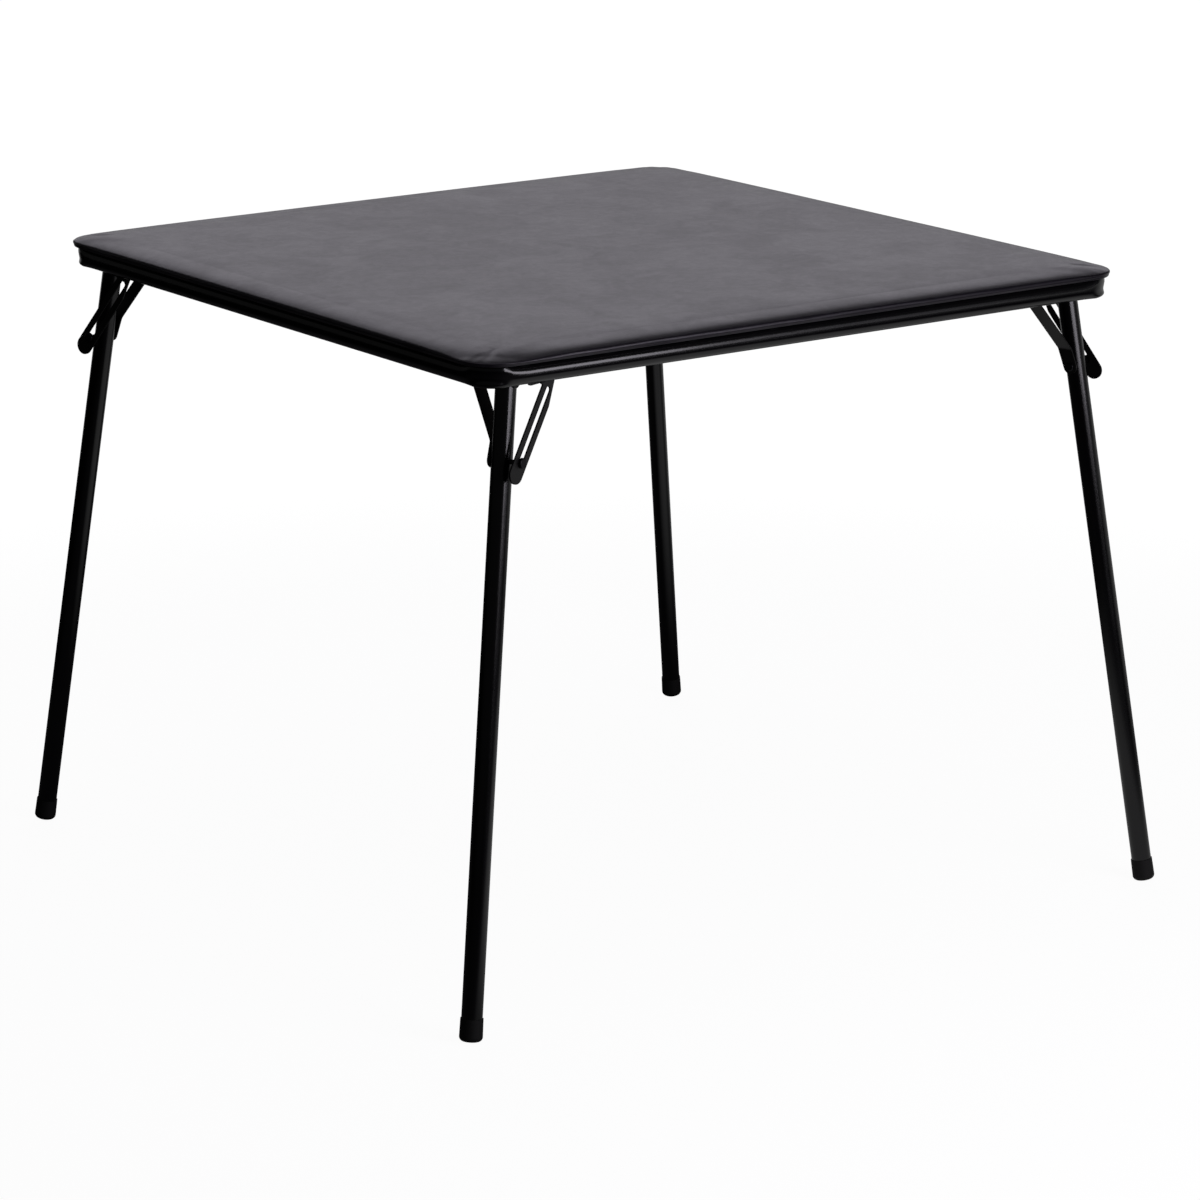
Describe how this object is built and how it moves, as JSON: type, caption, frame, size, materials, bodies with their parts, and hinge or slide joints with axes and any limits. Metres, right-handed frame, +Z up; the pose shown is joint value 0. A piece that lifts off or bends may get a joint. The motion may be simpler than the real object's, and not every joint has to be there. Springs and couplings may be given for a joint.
{
  "type": "folding card table",
  "caption": "Square folding card table with a padded vinyl top, a rolled steel frame and splayed tube legs that fold flat on slotted braces.",
  "frame": {"origin": "on the floor, under the middle of the table top", "axes": "+Z up; +X and +Y along two neighbouring sides of the square top"},
  "size_m": [0.944, 0.944, 0.698],
  "materials": {
    "vinyl": "grained dark grey vinyl, soft sheen",
    "foam": "open foam, matte",
    "hardboard": "pressed board, matte",
    "frame_enamel": "black enamel, semi-gloss",
    "leg_enamel": "black enamel, semi-gloss",
    "fitting_steel": "black finish, satin",
    "blackened_steel": "blackened, semi-gloss",
    "staple_steel": "bare wire",
    "foot_rubber": "matte"
  },
  "bodies": {
    "table_top": {"top_board": "hardboard", "foam_pad": "foam", "vinyl_cover": "vinyl", "apron_frame": "frame_enamel", "frame_screws": "blackened_steel", "cover_staples": "staple_steel", "brace_pivot_rivets": "blackened_steel", "brace_pivot_washers": "blackened_steel", "bracket_screws": "blackened_steel", "packing_washers": "blackened_steel", "hinge_bracket_near": "fitting_steel", "hinge_bracket_right": "fitting_steel", "hinge_bracket_back": "fitting_steel", "hinge_bracket_left": "fitting_steel"},
    "leg_near": {"leg_tube_near": "leg_enamel", "rubber_foot_near": "foot_rubber", "hinge_rod_near": "fitting_steel", "rod_sleeve_near": "fitting_steel", "hinge_clip_near": "fitting_steel", "clip_rivet_near": "blackened_steel", "leg_stud_near": "blackened_steel", "side_stay_near": "fitting_steel"},
    "brace_near": {"slotted_brace_near": "fitting_steel"},
    "leg_right": {"leg_tube_right": "leg_enamel", "rubber_foot_right": "foot_rubber", "hinge_rod_right": "fitting_steel", "rod_sleeve_right": "fitting_steel", "hinge_clip_right": "fitting_steel", "clip_rivet_right": "blackened_steel", "leg_stud_right": "blackened_steel", "side_stay_right": "fitting_steel"},
    "brace_right": {"slotted_brace_right": "fitting_steel"},
    "leg_back": {"leg_tube_back": "leg_enamel", "rubber_foot_back": "foot_rubber", "hinge_rod_back": "fitting_steel", "rod_sleeve_back": "fitting_steel", "hinge_clip_back": "fitting_steel", "clip_rivet_back": "blackened_steel", "leg_stud_back": "blackened_steel", "side_stay_back": "fitting_steel"},
    "brace_back": {"slotted_brace_back": "fitting_steel"},
    "leg_left": {"leg_tube_left": "leg_enamel", "rubber_foot_left": "foot_rubber", "hinge_rod_left": "fitting_steel", "rod_sleeve_left": "fitting_steel", "hinge_clip_left": "fitting_steel", "clip_rivet_left": "blackened_steel", "leg_stud_left": "blackened_steel", "side_stay_left": "fitting_steel"},
    "brace_left": {"slotted_brace_left": "fitting_steel"}
  },
  "joints": [
    {"name": "leg_fold_near", "type": "hinge", "parent": "table_top", "child": "leg_near", "pos_m": [-0.35277, -0.38072, 0.678], "axis": [0.3087, -0.9501, 0.0454], "range_deg": [0, 98.9]},
    {"name": "brace_fold_near", "type": "hinge", "parent": "table_top", "child": "brace_near", "pos_m": [-0.33733, -0.40111, 0.66607], "axis": [0.3087, -0.9501, 0.0454], "range_deg": [0, 114.1]},
    {"name": "leg_fold_right", "type": "hinge", "parent": "table_top", "child": "leg_right", "pos_m": [0.38072, -0.35277, 0.678], "axis": [0.9501, 0.3087, 0.0454], "range_deg": [0, 98.9]},
    {"name": "brace_fold_right", "type": "hinge", "parent": "table_top", "child": "brace_right", "pos_m": [0.40111, -0.33733, 0.66607], "axis": [0.9501, 0.3087, 0.0454], "range_deg": [0, 114.1]},
    {"name": "leg_fold_back", "type": "hinge", "parent": "table_top", "child": "leg_back", "pos_m": [0.35277, 0.38072, 0.678], "axis": [-0.3087, 0.9501, 0.0454], "range_deg": [0, 98.9]},
    {"name": "brace_fold_back", "type": "hinge", "parent": "table_top", "child": "brace_back", "pos_m": [0.33733, 0.40111, 0.66607], "axis": [-0.3087, 0.9501, 0.0454], "range_deg": [0, 114.1]},
    {"name": "leg_fold_left", "type": "hinge", "parent": "table_top", "child": "leg_left", "pos_m": [-0.38072, 0.35277, 0.678], "axis": [-0.9501, -0.3087, 0.0454], "range_deg": [0, 98.9]},
    {"name": "brace_fold_left", "type": "hinge", "parent": "table_top", "child": "brace_left", "pos_m": [-0.40111, 0.33733, 0.66607], "axis": [-0.9501, -0.3087, 0.0454], "range_deg": [0, 114.1]}
  ],
  "couplings": [
    {"joint": "brace_fold_near", "follows": "leg_fold_near", "ratio": 1.1527},
    {"joint": "brace_fold_right", "follows": "leg_fold_right", "ratio": 1.1527},
    {"joint": "brace_fold_back", "follows": "leg_fold_back", "ratio": 1.1527},
    {"joint": "brace_fold_left", "follows": "leg_fold_left", "ratio": 1.1527}
  ]
}
